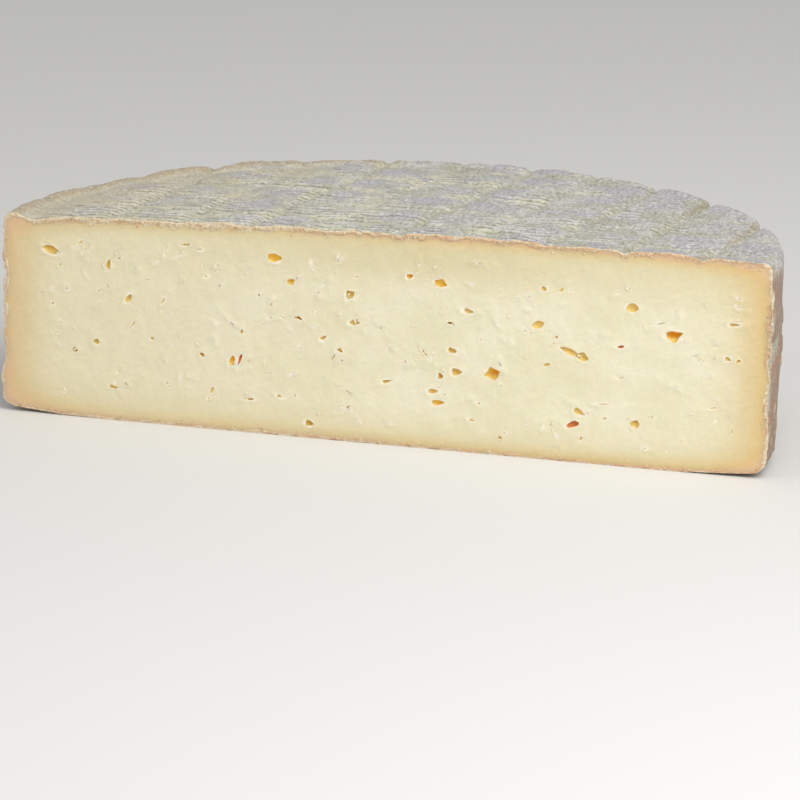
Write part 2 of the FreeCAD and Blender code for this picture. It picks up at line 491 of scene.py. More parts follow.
class Finish:
    """A material with its surface shader, and the one way in which nodes are added to it."""

    def __init__(self, name):
        self.material = bpy.data.materials.new(name)
        self.material.use_nodes = True
        self.nodes = self.material.node_tree.nodes
        self.surface = self.nodes["Principled BSDF"]

    def plug(self, node, sockets):
        """Gives each named socket of a node its value or its link."""
        for key, value in sockets.items():
            if isinstance(value, Signal):
                value = value.socket
            if isinstance(value, bpy.types.NodeSocket):
                self.material.node_tree.links.new(value, node.inputs[key])
            else:
                node.inputs[key].default_value = value

    def add(self, kind, settings, sockets):
        """Adds a node, with its settings made before its sockets are filled."""
        node = self.nodes.new("ShaderNode" + kind)
        for name, value in settings.items():
            setattr(node, name, value)
        self.plug(node, sockets)
        return node

    def number(self, kind, settings, sockets):
        """Adds a node and returns its first output as a signal."""
        return Signal(self, self.add(kind, settings, sockets).outputs[0])

    def place(self):
        """Object coordinates, in metres."""
        return self.add("TexCoord", {}, {}).outputs["Object"]

    def stretched(self, sizes, turn):
        """Object coordinates, turned and squeezed so that a lump of noise has those sizes."""
        scale = tuple(1 / (MM * size) for size in sizes)
        turned = self.add("Mapping", {}, {"Vector": self.place(), "Rotation": turn}).outputs[0]
        return self.add("Mapping", {}, {"Vector": turned, "Scale": scale}).outputs[0]

    def noise(self, size, detail=3.0, roughness=0.55, turn=(0, 0, 0)):
        """Noise round 0, in lumps of that size in millimetres, or of three sizes."""
        sizes = size if isinstance(size, tuple) else (size, size, size)
        sockets = {"Vector": self.stretched(sizes, turn), "Scale": 1.0, "Detail": detail,
                   "Roughness": roughness}
        return self.number("TexNoise", {}, sockets) - 0.5

    def map(self, name):
        """A number stored on the mesh."""
        node = self.add("Attribute", {"attribute_name": name}, {})
        return Signal(self, node.outputs["Fac"])

    def mix(self, amount, first, second):
        """The first colour, turning into the second as amount goes from 0 to 1."""
        node = self.add("Mix", {"data_type": "RGBA"}, {0: amount, 6: first, 7: second})
        return node.outputs[2]

    def bump(self, height, distance, strength, normal=None):
        """A normal that follows a signal's height, of that many millimetres."""
        sockets = {"Height": height, "Distance": distance * MM, "Strength": strength}
        if normal:
            sockets["Normal"] = normal
        return self.add("Bump", {}, sockets).outputs[0]


def wear(piece, finish):
    """Gives a piece that finish and no other."""
    piece.data.materials.clear()
    piece.data.materials.append(finish.material)


def paint(red, green, blue):
    """A colour as a painter's chart gives it, from 0 to 255, as the shader wants it."""
    def light(value):
        share = value / 255
        return share / 12.92 if share <= 0.04045 else ((share + 0.055) / 1.055) ** 2.4

    return light(red), light(green), light(blue), 1.0


grey = paint(190, 189, 181)
lilac_grey = paint(184, 179, 187)
sage = paint(178, 176, 157)
slate = paint(158, 160, 161)
mist = paint(210, 211, 206)
frost_and_crest_highlight = paint(226, 224, 212)
cream = paint(212, 206, 177)
olive_speckle_and_valley_shade = paint(138, 134, 114)
brown_bank_shade = paint(158, 140, 106)
beige = paint(184, 166, 138)
rose = paint(162, 127, 103)
mauve = paint(147, 127, 114)
orange_tan = paint(180, 150, 117)
rust = paint(166, 108, 68)
blue_grey = paint(172, 175, 165)
moss = paint(176, 164, 126)
buttermilk = paint(204, 188, 152)
pale_skin = paint(187, 168, 143)
crust_white = paint(231, 219, 191)
crust_tan = paint(216, 192, 154)
crust_salmon = paint(222, 178, 138)

skin = Finish("rind")
crease = skin.map("crease")
rib = skin.map("rib")
puffed = skin.map("puffed")
shaded_bank = skin.map("shaded_bank")
lip = skin.map("lip")
wall_share = skin.map("wall")
hollow = skin.map("hollow")
flake = skin.map("flake")
wide = skin.noise(24, detail=4)
patch = skin.noise(8, detail=5, roughness=0.6)
cloudy = skin.noise((9.0, 6.0, 6.0), detail=5, roughness=0.65)
streak = skin.noise((2.4, 1.6, 2.0), detail=5, roughness=0.65)
grain = skin.noise(0.8, detail=5, roughness=0.75)
weave = skin.noise((0.8, 1.3, 0.8), detail=2, roughness=0.6)
place_parts = skin.add("SeparateXYZ", {}, {0: skin.place()})
to_left = Signal(skin, place_parts.outputs["X"]) * (-1 / (MM * wheel_radius))
to_back = Signal(skin, place_parts.outputs["Y"]) * (1 / (MM * wheel_radius))
from_cut = Signal(skin, place_parts.outputs["Y"]) - cut_plane
top = skin.mix((patch + 0.3 * streak).step(-0.08, 0.1), grey, sage)
lilac = puffed * 0.3 + wide + cloudy + 0.3 * streak + 0.12 * to_back
top = skin.mix(lilac.step(0.02, 0.22) * 0.9, top, lilac_grey)
creamy = cloudy - 0.25 * puffed + 0.35 * streak + 0.13 * to_left
top = skin.mix(creamy.step(-0.08, 0.06) * 0.85, top, cream)
top = skin.mix((0.4 * streak - patch).step(0.02, 0.18) * 0.5, top, mist)
top = skin.mix((lip + 0.6 * streak).step(0.2, 0.8) * 0.85, top, beige)
top = skin.mix((to_left + 0.5 * cloudy).step(0.1, 1.0) * 0.35, top, beige)
front = 1 - from_cut.step(4 * MM, 22 * MM)
top = skin.mix((puffed + 0.9 * cloudy).step(0.45, 0.85) * front * 0.55, top, slate)
top = skin.mix((crease + 0.8 * streak).step(0.3, 0.9) * 0.5, top, sage)
# Brown painted shade on one side of each crease
top = skin.mix((shaded_bank + 1.4 * streak).step(0.5, 1.2) * 0.55, top, brown_bank_shade)
woven = (1.2 - 0.35 * to_left) * weave
# Olive in the rib valleys is painted shade and pale frost on the rib crests is a painted highlight, both
# mixed with speckle from the weave and grain noise
top = skin.mix((rib * -0.3 + woven + 0.4 * grain).step(0.0, 0.3) * 0.8, top, olive_speckle_and_valley_shade)
top = skin.mix((rib * 0.23 - woven + 0.5 * grain).step(0.04, 0.3) * 0.8, top, frost_and_crest_highlight)
side = skin.mix((wide + 0.4 * patch).step(-0.1, 0.1), rose, mauve)
side = skin.mix((patch + 0.3 * streak).step(0.05, 0.22) * 0.55, side, orange_tan)
side = skin.mix((streak + 0.2 * grain).step(-0.02, 0.16) * 0.5, side, pale_skin)
mouldy = hollow + 1.1 * patch + 2.4 * (wide - 0.02) + 1.1 * streak + 0.5 * grain
side = skin.mix(mouldy.step(0.15, 0.45) * 0.6, side, moss)
side = skin.mix(mouldy.step(0.38, 0.8) * 0.8, side, skin.mix(grain.step(-0.1, 0.15), blue_grey, mist))
side = skin.mix((flake + 0.8 * streak).step(0.3, 0.9) * 0.85, side, buttermilk)
side = skin.mix((streak - 0.25 * hollow + 0.3 * patch).step(0.12, 0.24) * 0.7, side, rust)
colour = skin.mix(wall_share, top, side)
at_cut = 1 - (from_cut + MM * 1.8 * grain).step(0.0, 0.7 * MM)
shreds = skin.noise((4.5, 3.0, 3.0), detail=4, roughness=0.6)
inner = skin.map("torn_edge")
torn = skin.mix(grain.step(-0.08, 0.12), crust_white, crust_tan)
redder = inner + 1.8 * shreds + 0.6 * grain - 0.45 * to_left
torn = skin.mix(redder.step(0.2, 0.7) * 0.9, torn, crust_salmon)
colour = skin.mix(at_cut, colour, torn)
normal = skin.bump(grain, 0.4, 0.8)
normal = skin.bump(weave, 0.4, 0.8, normal)
skin.plug(skin.surface, {
    "Base Color": colour,
    "Roughness": 0.86 + 0.12 * grain,
    "Normal": normal,
    "Specular IOR Level": 0.25,
    "Sheen Weight": 0.13,
    "Sheen Roughness": 0.6,
})
wear(rind, skin)
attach(rind, "root")
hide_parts("half_wheel")

# --- Torn crust --------------------------------------------------------------------------
# The knife tore the rind's edge, which stands as a ragged, crumbly seam all round the cut
# face: widest along the top and thin on the left. It is a ring whose section varies.
seam_steps = 4200
seam_sides = 8
crust = new_grid("torn_crust", seam_steps, seam_sides)
grid = read_places(crust)
at = np.round((grid[:, 0] + 1) / 2 * seam_steps).astype(int) % seam_steps
turn = (grid[:, 1] + 1) * math.pi
loop = 2 * outline_run[-1]
step_run = (np.arange(seam_steps) / seam_steps - 0.5) * loop
seam_across, seam_behind, seam_up = [
    np.interp(step_run, cut_run, cut_edge[:, axis], period=loop) for axis in range(3)]
seam = np.column_stack([seam_across, seam_behind, seam_up])
in_across, in_up = inwards_from(seam_across, seam_up)
on_top = np.clip(-in_up, 0, 1)
on_right = np.clip(-in_across, 0, 1)
on_left = np.clip(in_across, 0, 1)
seam_left = smooth_step(-seam_across, -30, 50)
width = 0.19 + on_top * (0.1 + 0.34 * seam_left) + 0.28 * on_right - 0.05 * on_left
ragged = 0.7 + 1.3 * lumps(seam, 4.5, 51) + 0.8 * lumps(seam, 1.7, 52) + 0.6 * lumps(seam, 0.6, 53)
half_width = (width * np.clip(ragged, 0.2, 2.0))[at]
half_height = (0.1 + 0.06 * seam_left + 0.08 * lumps(seam, 0.9, 54))[at]
reach_in = half_width * (1 + np.cos(turn)) - 0.1
places = np.column_stack([
    seam_across[at] + in_across[at] * reach_in,
    -0.02 - half_height * np.sin(turn),
    seam_up[at] + in_up[at] * reach_in,
])
for axis in range(3):
    places[:, axis] += 0.1 * lumps(places, 0.8, 55 + axis) + 0.09 * lumps(places, 0.38, 58 + axis)
places[:, 2] = np.maximum(places[:, 2], 0.02)
write_places(crust, places)
seam_red = on_top * (0.7 - 1.3 * seam_left) - 0.5 * on_right
write_map(crust, "inner", (1 + np.cos(turn)) / 2 + seam_red[at])
bpy.ops.object.mode_set(mode="EDIT")
bpy.ops.mesh.select_all(action="SELECT")
bpy.ops.mesh.remove_doubles(threshold=0.0001)
leave_edit_mode()
put_in_place(crust)
bpy.ops.object.shade_smooth()

seam_finish = Finish("torn_crust")
seam_grain = seam_finish.noise(0.6, detail=4, roughness=0.7)
seam_patch = seam_finish.noise((5.0, 3.0, 4.0), detail=4, roughness=0.6)
reddish = seam_finish.map("inner") * 0.5 + 1.6 * seam_patch + 0.7 * seam_grain
seam_colour = seam_finish.mix(seam_grain.step(-0.08, 0.12), crust_white, crust_tan)
seam_colour = seam_finish.mix(reddish.step(0.15, 0.6) * 0.9, seam_colour, crust_salmon)
seam_finish.plug(seam_finish.surface, {
    "Base Color": seam_colour,
    "Roughness": 0.75 + 0.3 * seam_grain,
    "Normal": seam_finish.bump(seam_grain, 0.22, 0.8),
    "Specular IOR Level": 0.3,
})
wear(crust, seam_finish)
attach(crust, "root")
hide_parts("half_wheel")

# --- Crumbs ------------------------------------------------------------------------------
# Dry bits of mould and crust that the knife tore off the rind and left along the cut edge.
# One small ball is copied, and each copy is made uneven and pushed to its place: up to these
# shares of them on the top edge, the base, the right and the rest on the left, many in clusters.
crumb_count = 3600
cluster_count = 64
crumb_reach = 98.5
top_crumbs = 0.64
base_crumbs = 0.82
right_crumbs = 0.94


def many_balls(name, count, subdivisions):
    """A piece made of that many equal balls in one place, and their vertices, ball by ball."""
    bpy.ops.object.select_all(action="DESELECT")
    bpy.ops.mesh.primitive_ico_sphere_add(subdivisions=subdivisions, radius=1)
    piece = bpy.context.object
    piece.name = name
    piece.data.name = name
    array = piece.modifiers.new("one for each ball", "ARRAY")
    array.count = count
    array.use_relative_offset = False
    bpy.ops.object.modifier_apply(modifier=array.name)
    return piece, read_places(piece).reshape(count, -1, 3)


crumbs, balls = many_balls("rind_crumbs", crumb_count, 1)
ball_size = balls.shape[1]
rng = np.random.default_rng(11)
where = rng.uniform(0, 1, crumb_count)
cluster_at = rng.uniform(-98, 98, cluster_count)
cluster_of = (cluster_count * rng.uniform(size=crumb_count) ** 1.4).astype(int)
along_top = cluster_at[cluster_of] + rng.normal(0, 2.2, crumb_count)
along_top = np.clip(along_top, -crumb_reach, crumb_reach)
in_cluster = rng.uniform(size=crumb_count) < 0.6
along_top = np.where(in_cluster, along_top, rng.uniform(-crumb_reach, crumb_reach, crumb_count))
up_wall = np.where(cluster_of % 4 < 2, rng.normal(40, 3, crumb_count), rng.uniform(5, 49, crumb_count))
up_wall = np.where(cluster_of % 4 == 1, rng.normal(33, 1.2, crumb_count), up_wall)
top_at, base_at, radius_at = inset_outline(0.15)
top_up = tilted(along_top, 0 * along_top, top_at(along_top)) + cloth_print(along_top, 0 * along_top)[0]
base_up = base_at(along_top) + 0.3
side_out = radius_at(up_wall)
inwards = np.abs(rng.normal(0, 0.4, crumb_count)) * np.where(in_cluster, 1.6, 1.0)
is_top = where < top_crumbs
is_base = (where >= top_crumbs) & (where < base_crumbs)
is_right = (where >= base_crumbs) & (where < right_crumbs)
across = np.where(is_top | is_base, along_top, np.where(is_right, side_out - inwards, inwards - side_out))
up = np.where(is_top, top_up - inwards, np.where(is_base, base_up + 0.6 * inwards, up_wall))
behind = rng.normal(-0.12, 0.09, crumb_count)
sizes = 0.07 + 0.2 * rng.uniform(size=crumb_count) ** 3
sizes *= np.where(is_right & (np.abs(up_wall - 40) < 6), 1.35, 1.0)
balls *= rng.uniform(0.7, 1.3, (crumb_count, ball_size, 1))
balls *= (rng.uniform(0.6, 1.4, (crumb_count, 3)) * sizes[:, None])[:, None, :]
for number in range(crumb_count):
    balls[number] += (across[number], behind[number], up[number])
write_places(crumbs, balls.reshape(-1, 3))
write_map(crumbs, "inner", np.repeat(rng.uniform(-0.3, 1.2, crumb_count), ball_size))
put_in_place(crumbs)
bpy.ops.object.shade_smooth()
wear(crumbs, seam_finish)
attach(crumbs, "root")
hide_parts("half_wheel")

# --- Paste -------------------------------------------------------------------------------
# The ivory inside of the cheese, a pressed, half-firm curd with open eyes. It shows on the
# face that the knife cut, as a slab that sits in the rind's tray.
paste_depth = 5.5
paste_gap = 0.1
paste_proud = 0.06
smear_height = 0.19
smear_width = 0.5
paste_columns = 480
paste_rows = 122

# Eyes are openings that gas left in the curd, cut through by the knife: small uneven hollows
# with sharp edges, amber inside and turning deep amber to red-brown with depth, which is the
# paste's own amber with painted shade in the hollow, and with a raised, whitish rim.
# Each eye: across, up, length, width, tilt in degrees, corners (0 is round, and a negative
# number stands on a corner), depth share
large_eyes = (
    (-87.0, 43.2, 5.0, 2.3, -13, 4, 0.8), (-71.8, 40.5, 3.1, 1.7, 78, 3, 0.8),
    (-66.4, 32.2, 2.7, 1.3, 56, 0, 0.9), (-38.8, 18.2, 3.0, 1.5, 70, 0, 0.9),
    (-36.6, 18.9, 3.3, 0.8, 72, 0, 1.3), (-28.0, 46.0, 3.4, 2.4, -4, 5, 0.8),
    (-23.6, 40.1, 2.1, 1.6, 25, 5, 0.8), (-18.2, 3.9, 2.7, 2.0, -12, 3, 1.1),
    (-8.0, 38.2, 2.5, 2.2, 35, 4, 0.8), (-6.8, 31.0, 2.9, 1.3, 3, 0, 0.7),
    (1.8, 16.5, 2.8, 1.2, 14, 3, 0.8), (7.4, 44.2, 1.9, 1.6, 20, 3, 0.9),
    (15.4, 43.0, 3.4, 2.3, -5, 5, 0.7), (22.8, 36.5, 3.2, 1.5, -8, 3, 0.7),
    (18.8, 26.0, 3.1, 1.8, -4, 3, 0.7), (20.0, 20.6, 3.6, 2.2, 3, 3, 0.7),
    (29.3, 20.9, 3.7, 3.0, 18, 4, 0.9), (15.8, 19.2, 1.7, 2.2, 0, 3, 0.7),
    (14.0, 15.1, 3.0, 1.7, 5, 3, 0.6), (15.2, 12.2, 4.1, 1.7, 8, 3, 0.8),
    (40.6, 34.5, 3.4, 2.2, 14, 4, 0.6), (49.0, 28.3, 5.4, 1.9, -18, 4, 0.6),
    (52.2, 27.3, 2.8, 2.3, -10, 5, 0.7), (64.5, 40.9, 3.1, 2.4, -6, 5, 0.6),
    (75.2, 34.6, 4.8, 3.2, 0, -3, 0.9), (90.2, 38.7, 2.9, 1.1, 4, 3, 0.8),
    (89.0, 29.9, 2.0, 1.3, -15, 3, 0.7), (91.6, 29.6, 1.6, 0.9, 30, 0, 0.7),
    (51.6, 13.1, 3.6, 2.0, -22, 3, 0.5), (50.1, 9.7, 3.7, 1.5, 22, 0, 1.3),
    (66.0, 11.2, 2.6, 2.0, -4, 5, 0.8), (-80.6, 17.6, 1.8, 1.5, -20, 3, 0.6),
    (-74.8, 20.2, 1.8, 1.5, 10, 4, 0.9), (-70.4, 8.7, 2.6, 1.2, -6, 3, 0.8),
    (-46.6, 19.3, 1.2, 1.5, 60, 4, 0.9), (18.2, 33.0, 0.9, 2.6, 80, 3, 0.7),
    (-21.3, 31.0, 1.0, 2.4, 76, 3, 0.7), (41.9, 43.8, 1.6, 1.3, 20, 0, 0.8),
    (46.4, 43.9, 1.9, 0.9, 55, 3, 0.6), (43.2, 24.5, 1.8, 0.8, 18, 0, 1.1),
    (61.9, 30.7, 1.8, 0.7, 8, 0, 1.4), (45.5, 31.7, 1.2, 0.9, 55, 3, 0.6),
    (-33.6, 8.8, 2.6, 0.9, 12, 3, 0.6), (-14.9, 26.3, 2.2, 1.2, 35, 3, 0.7),
    (-26.2, 10.2, 1.6, 1.0, -20, 3, 0.6), (-8.1, 8.9, 1.6, 0.8, 40, 3, 0.7),
    (24.2, 8.4, 1.9, 0.8, -10, 3, 0.5), (31.6, 4.6, 0.9, 1.3, 80, 3, 0.6),
    (-44.0, 10.2, 1.9, 0.7, 70, 0, 0.8), (-10.4, 23.5, 1.2, 2.0, 70, 3, 0.6),
)
# Thin slits and cracks: across, up, length, width, tilt
slits = (
    (-79.4, 45.7, 2.2, 0.5, 40), (-57.2, 32.3, 2.2, 0.45, 58), (-51.1, 47.5, 2.4, 0.6, 8),
    (-48.0, 46.6, 1.9, 0.35, -6), (-38.6, 27.8, 2.2, 0.4, -42), (-12.1, 21.6, 2.4, 0.5, 66),
    (-11.2, 46.8, 1.4, 0.35, 84), (11.8, 24.6, 2.9, 0.45, -50), (71.8, 37.5, 3.0, 0.4, 20),
    (85.6, 17.0, 2.0, 0.45, 15), (-78.4, 44.9, 1.0, 0.3, 30), (-65.2, 25.4, 2.6, 0.4, 55),
    (-36.2, 26.2, 1.4, 0.8, 75), (-43.8, 23.4, 1.8, 0.4, -62), (25.5, 48.9, 1.5, 0.4, -4),
    (31.2, 23.5, 1.7, 0.4, -60), (80.8, 30.0, 2.8, 0.3, 8), (52.4, 6.3, 1.4, 0.5, 60),
    (62.4, 22.8, 1.2, 0.3, 20), (76.0, 21.6, 2.0, 0.35, -25), (-28.6, 33.8, 1.4, 0.35, 78),
    (-86.6, 29.3, 1.0, 0.5, 60), (-8.0, 12.9, 2.2, 0.35, -30), (57.8, 15.6, 3.4, 0.3, 2),
    (-60.0, 22.3, 0.9, 0.7, 0), (-68.8, 42.5, 0.9, 0.6, 30), (-42.2, 37.5, 1.0, 0.4, 65),
    (0.0, 30.4, 1.4, 0.4, -40), (-17.8, 44.6, 1.3, 0.3, -70), (-20.6, 24.2, 0.9, 0.4, 50),
)
speck_count = 120
rng = np.random.default_rng(7)
specks = [
    (rng.uniform(-92, 92), rng.uniform(5, 48), rng.uniform(0.4, 1.3), rng.uniform(0.25, 0.6),
     rng.uniform(-90, 90))
    for speck in range(speck_count)
]
openings = list(large_eyes)
openings += [slit + (0, 1.0) for slit in slits]
openings += [speck + (3, 0.7) for speck in specks]


def eye_distance(across, up):
    """Distance in millimetres from each place on the face to the edge of the nearest opening."""
    nearest = np.full_like(across, 99.0)
    for centre_across, centre_up, length, width, tilt, corners, depth in openings:
        turn = math.radians(tilt)
        along = (across - centre_across) * math.cos(turn) + (up - centre_up) * math.sin(turn)
        athwart = (up - centre_up) * math.cos(turn) - (across - centre_across) * math.sin(turn)
        size = np.hypot(along / (length / 2), athwart / (width / 2))
        nearest = np.minimum(nearest, (size - 1) * width / 2)
    return nearest


def eye_rims(across, up):
    """How far the knife's smear has raised the paste round the openings."""
    flat = np.column_stack([across, up, 0 * across])
    apart = eye_distance(across, up)
    patchy = np.clip(0.3 + 1.8 * lumps(flat, 1.9, 35), 0, 1)
    return smear_height * np.exp(-((apart - 0.3) / smear_width) ** 2) * patchy


paste = new_grid("paste", paste_columns, paste_rows)
grid = read_places(paste)
share_across = grid[:, 0]
share_up = (grid[:, 1] + 1) / 2
# The grid's four sides follow the rind's cut edge, and the places between are shared out
in_across, in_up = inwards_from(cut_edge[:, 0], cut_edge[:, 2])
side_across = cut_edge[:, 0] + paste_gap * in_across
side_height = cut_edge[:, 2] + paste_gap * in_up


def edge_place(run):
    """Across and up on the cut edge, at a run from the top's middle."""
    loop = 2 * outline_run[-1]
    return np.column_stack([np.interp(run, cut_run, side_across, period=loop),
                            np.interp(run, cut_run, side_height, period=loop)])


hand = np.where(share_across < 0, -1, 1)
out_to = np.abs(share_across)
foot_start = foot_mark - turn_places
corner_up, corner_down = outline_run[rim_mark], outline_run[foot_start]
top_part = slice(None, rim_mark + 1)
base_part = slice(None, foot_start - 1, -1)
top_run = np.interp(out_to * wheel_radius, outline_radius[top_part], outline_run[top_part])
foot_out = out_to * outline_radius[foot_start]
base_run = np.interp(foot_out, outline_radius[base_part], outline_run[base_part])
wall_run = corner_down + share_up * (corner_up - corner_down)
rise = share_up[:, None]
to_right = (share_across[:, None] + 1) / 2
face = rise * edge_place(hand * top_run) + (1 - rise) * edge_place(hand * base_run)
face += to_right * edge_place(wall_run) + (1 - to_right) * edge_place(-wall_run)
face -= rise * (to_right * edge_place([corner_up]) + (1 - to_right) * edge_place([-corner_up]))
face -= (1 - rise) * (to_right * edge_place([corner_down]) + (1 - to_right) * edge_place([-corner_down]))
across, up = face.T
from_edge = (0.5 - np.abs(share_up - 0.5)) * edge_height
from_edge = np.minimum((1 - out_to) * wheel_radius, from_edge)

# The knife has dragged over the face, from lower left to upper right
drag = math.radians(24)


def face_relief(across, up):
    """How far the cut face stands proud at each place."""
    along = across * math.cos(drag) + up * math.sin(drag)
    athwart = up * math.cos(drag) - across * math.sin(drag)
    flat = np.column_stack([across, up, 0 * across])
    relief = 0.15 * lumps(flat, 13, 31) + 0.13 * lumps(flat, 4, 32) + 0.06 * lumps(flat, 1.6, 34)
    return relief + 0.06 * lumps(np.column_stack([along / 16, athwart / 1.1, 0 * along]), 1.0, 33)


relief = face_relief(across, up) * smooth_step(from_edge, 0.4, 2.5) + eye_rims(across, up)
write_places(paste, np.column_stack([across, -paste_proud - relief, up]))

bpy.ops.object.mode_set(mode="EDIT")
bpy.ops.mesh.select_all(action="SELECT")
bpy.ops.mesh.normals_make_consistent(inside=False)
bpy.ops.mesh.select_mode(type="EDGE")
select_open_edges()
# The slab's sides go back in two steps and narrow a little at each
for behind in (paste_depth * 0.06, paste_depth * 0.94):
    bpy.ops.mesh.extrude_edges_move(TRANSFORM_OT_translate={"value": (0, behind, 0)})
    bpy.ops.transform.resize(value=(0.985, 1, 0.95), center_override=(0, 0, edge_height / 2))
bpy.ops.mesh.edge_face_add()
leave_edit_mode()

eye_cutter, balls = many_balls("eye_cutter", len(openings), 3)
for number, (across, up, length, width, tilt, corners, depth) in enumerate(openings):
    ball = balls[number]
    around = np.arctan2(ball[:, 2], ball[:, 0])
    if corners:
        # A softened polygon
        sector = 2 * math.pi / abs(corners)
        lead = 0 if corners > 0 else -math.pi / 6
        from_side = np.mod(around + lead, sector) - sector / 2
        flatness = math.cos(sector / 2) / np.cos(from_side)
        flank = np.hypot(ball[:, 0], ball[:, 2])
        ball[:, [0, 2]] *= (1 + (flatness - 1) * 0.8 * flank)[:, None] * 1.12
    ball *= (1 + 0.3 * lumps(ball, 0.9, 40 + number) + 0.16 * lumps(ball, 0.35, 40 + number))[:, None]
    ball *= (length / 2, width * 0.55 * depth, width / 2)
    turn = math.radians(tilt)
    leant_across = ball[:, 0] * math.cos(turn) - ball[:, 2] * math.sin(turn)
    leant_up = ball[:, 0] * math.sin(turn) + ball[:, 2] * math.cos(turn)
    deepening = 1 + 0.5 * (0.5 * leant_across / length + leant_up / width)
    ball[:, 1] *= np.where(ball[:, 1] > 0, deepening, 1)
    ball[:, 1] += 0.06 * width
    ball[:, 0] = across + leant_across
    ball[:, 2] = up + leant_up
write_places(eye_cutter, balls.reshape(-1, 3))

bpy.context.view_layer.objects.active = paste
eyes = paste.modifiers.new("eyes", "BOOLEAN")
eyes.operation = "DIFFERENCE"
eyes.solver = "MANIFOLD"
eyes.object = eye_cutter
bpy.ops.object.modifier_apply(modifier=eyes.name)
bpy.data.objects.remove(eye_cutter)

# The paste is tan near the rind, in bands of these widths, and a straw-coloured painted shade darkens it
# below the top edge and above the base
top_band = 2.2
base_band = 2.3
side_band = 6.8
blush_band = 1.3
places = read_places(paste)
across, up = places[:, 0], places[:, 2]
top_at, base_at, radius_at = inset_outline(0)
under_top = tilted(across, 0 * across, top_at(across)) - up
above_base = up - base_at(across)
nearness = np.exp(-under_top / top_band) + np.exp(-above_base / base_band)
nearness += np.exp(-(wheel_radius - np.abs(across)) / side_band)
write_map(paste, "rind_nearness", np.clip(nearness, 0, 1.5))
write_map(paste, "under_top", np.exp(-under_top / blush_band) * smooth_step(across, -85, -40))
# Painted shade below the rind's top edge, strongest towards the middle, and a weaker one above the base
top_shade_share = 0.1 + 0.68 * smooth_step(across, -80, 15) - 0.28 * smooth_step(across, 15, 60)
edge_shade = top_shade_share * (1 - smooth_step(under_top, 5, 17))
edge_shade = np.maximum(edge_shade, 0.3 * (1 - smooth_step(above_base, 3, 12)))
write_map(paste, "edge_shade", edge_shade)
# The eyes that are deepest for their width are red-brown inside: painted shade in the narrow hollow over
# the paste's amber
from_red = [np.hypot(across - eye[0], up - eye[1]) for eye in large_eyes if eye[6] > 1.2]
write_map(paste, "red_eye", 1 - smooth_step(np.min(from_red, axis=0), 1.2, 2.2))
from_eye = eye_distance(across, up)
face_at = -paste_proud - face_relief(across, up)
write_map(paste, "eye_depth", np.where(from_eye < 1, places[:, 1] - face_at, 0))
write_map(paste, "eye_nearness", np.exp(-np.clip(from_eye, 0, None) / 0.7))
put_in_place(paste)
bpy.ops.object.select_all(action="DESELECT")
paste.select_set(True)
bpy.context.view_layer.objects.active = paste
bpy.ops.object.shade_smooth_by_angle(angle=math.radians(38))

ivory = paint(233, 226, 193)
pale_ivory = paint(239, 233, 206)
left_shade_ivory = paint(231, 221, 188)
edge_shade_ivory = paint(219, 206, 163)
straw = paint(225, 207, 161)
tan = paint(224, 192, 143)
golden_tan = paint(224, 191, 127)
salmon = paint(233, 189, 151)
hollow_straw = paint(232, 206, 128)
smear_white = paint(247, 238, 217)
light_amber = paint(238, 211, 132)
amber = paint(252, 205, 70)
shaded_deep_amber = paint(250, 176, 22)
shaded_red_brown = paint(224, 116, 50)

cut_face = Finish("paste")
near = cut_face.map("rind_nearness")
cloud = cut_face.noise(14, detail=4)
mottle = cut_face.noise(2.2, detail=5)
colour = cut_face.mix(cloud.step(-0.15, 0.2), ivory, pale_ivory)
face_parts = cut_face.add("SeparateXYZ", {}, {0: cut_face.place()})
face_left = Signal(cut_face, face_parts.outputs["X"]) * (-1 / (MM * wheel_radius))
# Darker towards the left: painted shade from the light that falls from the right, partly the paste's own
# tone
colour = cut_face.mix(face_left.step(-0.3, 0.7) * 0.6, colour, left_shade_ivory)
# Straw-coloured painted shade below the top edge and above the base
colour = cut_face.mix(cut_face.map("edge_shade") * (1 + 0.8 * cloud), colour, edge_shade_ivory)
colour = cut_face.mix((near + 0.15 * cloud).step(0.02, 0.42) * 0.85, colour, straw)
band_tan = cut_face.mix(face_left.step(-0.5, 0.2), golden_tan, tan)
colour = cut_face.mix((near + 0.2 * mottle).step(0.22, 0.85) * 0.9, colour, band_tan)
blotch = cut_face.noise(6, detail=4, roughness=0.6)
blush = near + 0.5 * mottle + 0.8 * blotch
colour = cut_face.mix(blush.step(0.68, 1.05) * 0.7, colour, salmon)
ragged_band = cut_face.map("under_top") + 0.9 * blotch + 0.5 * mottle
colour = cut_face.mix(ragged_band.step(0.3, 0.5) * 0.55, colour, salmon)
fine = cut_face.noise(0.9, detail=3, roughness=0.7)
one_side = cut_face.noise(2.6, detail=3)
halo = cut_face.map("eye_nearness") + 1.4 * one_side + 0.5 * fine
colour = cut_face.mix(halo.step(0.6, 1.0) * 0.85, colour, smear_white)
colour = cut_face.mix(fine.step(0.16, 0.24) * 0.5, colour, smear_white)
colour = cut_face.mix((fine * -1).step(0.16, 0.24) * 0.35, colour, straw)
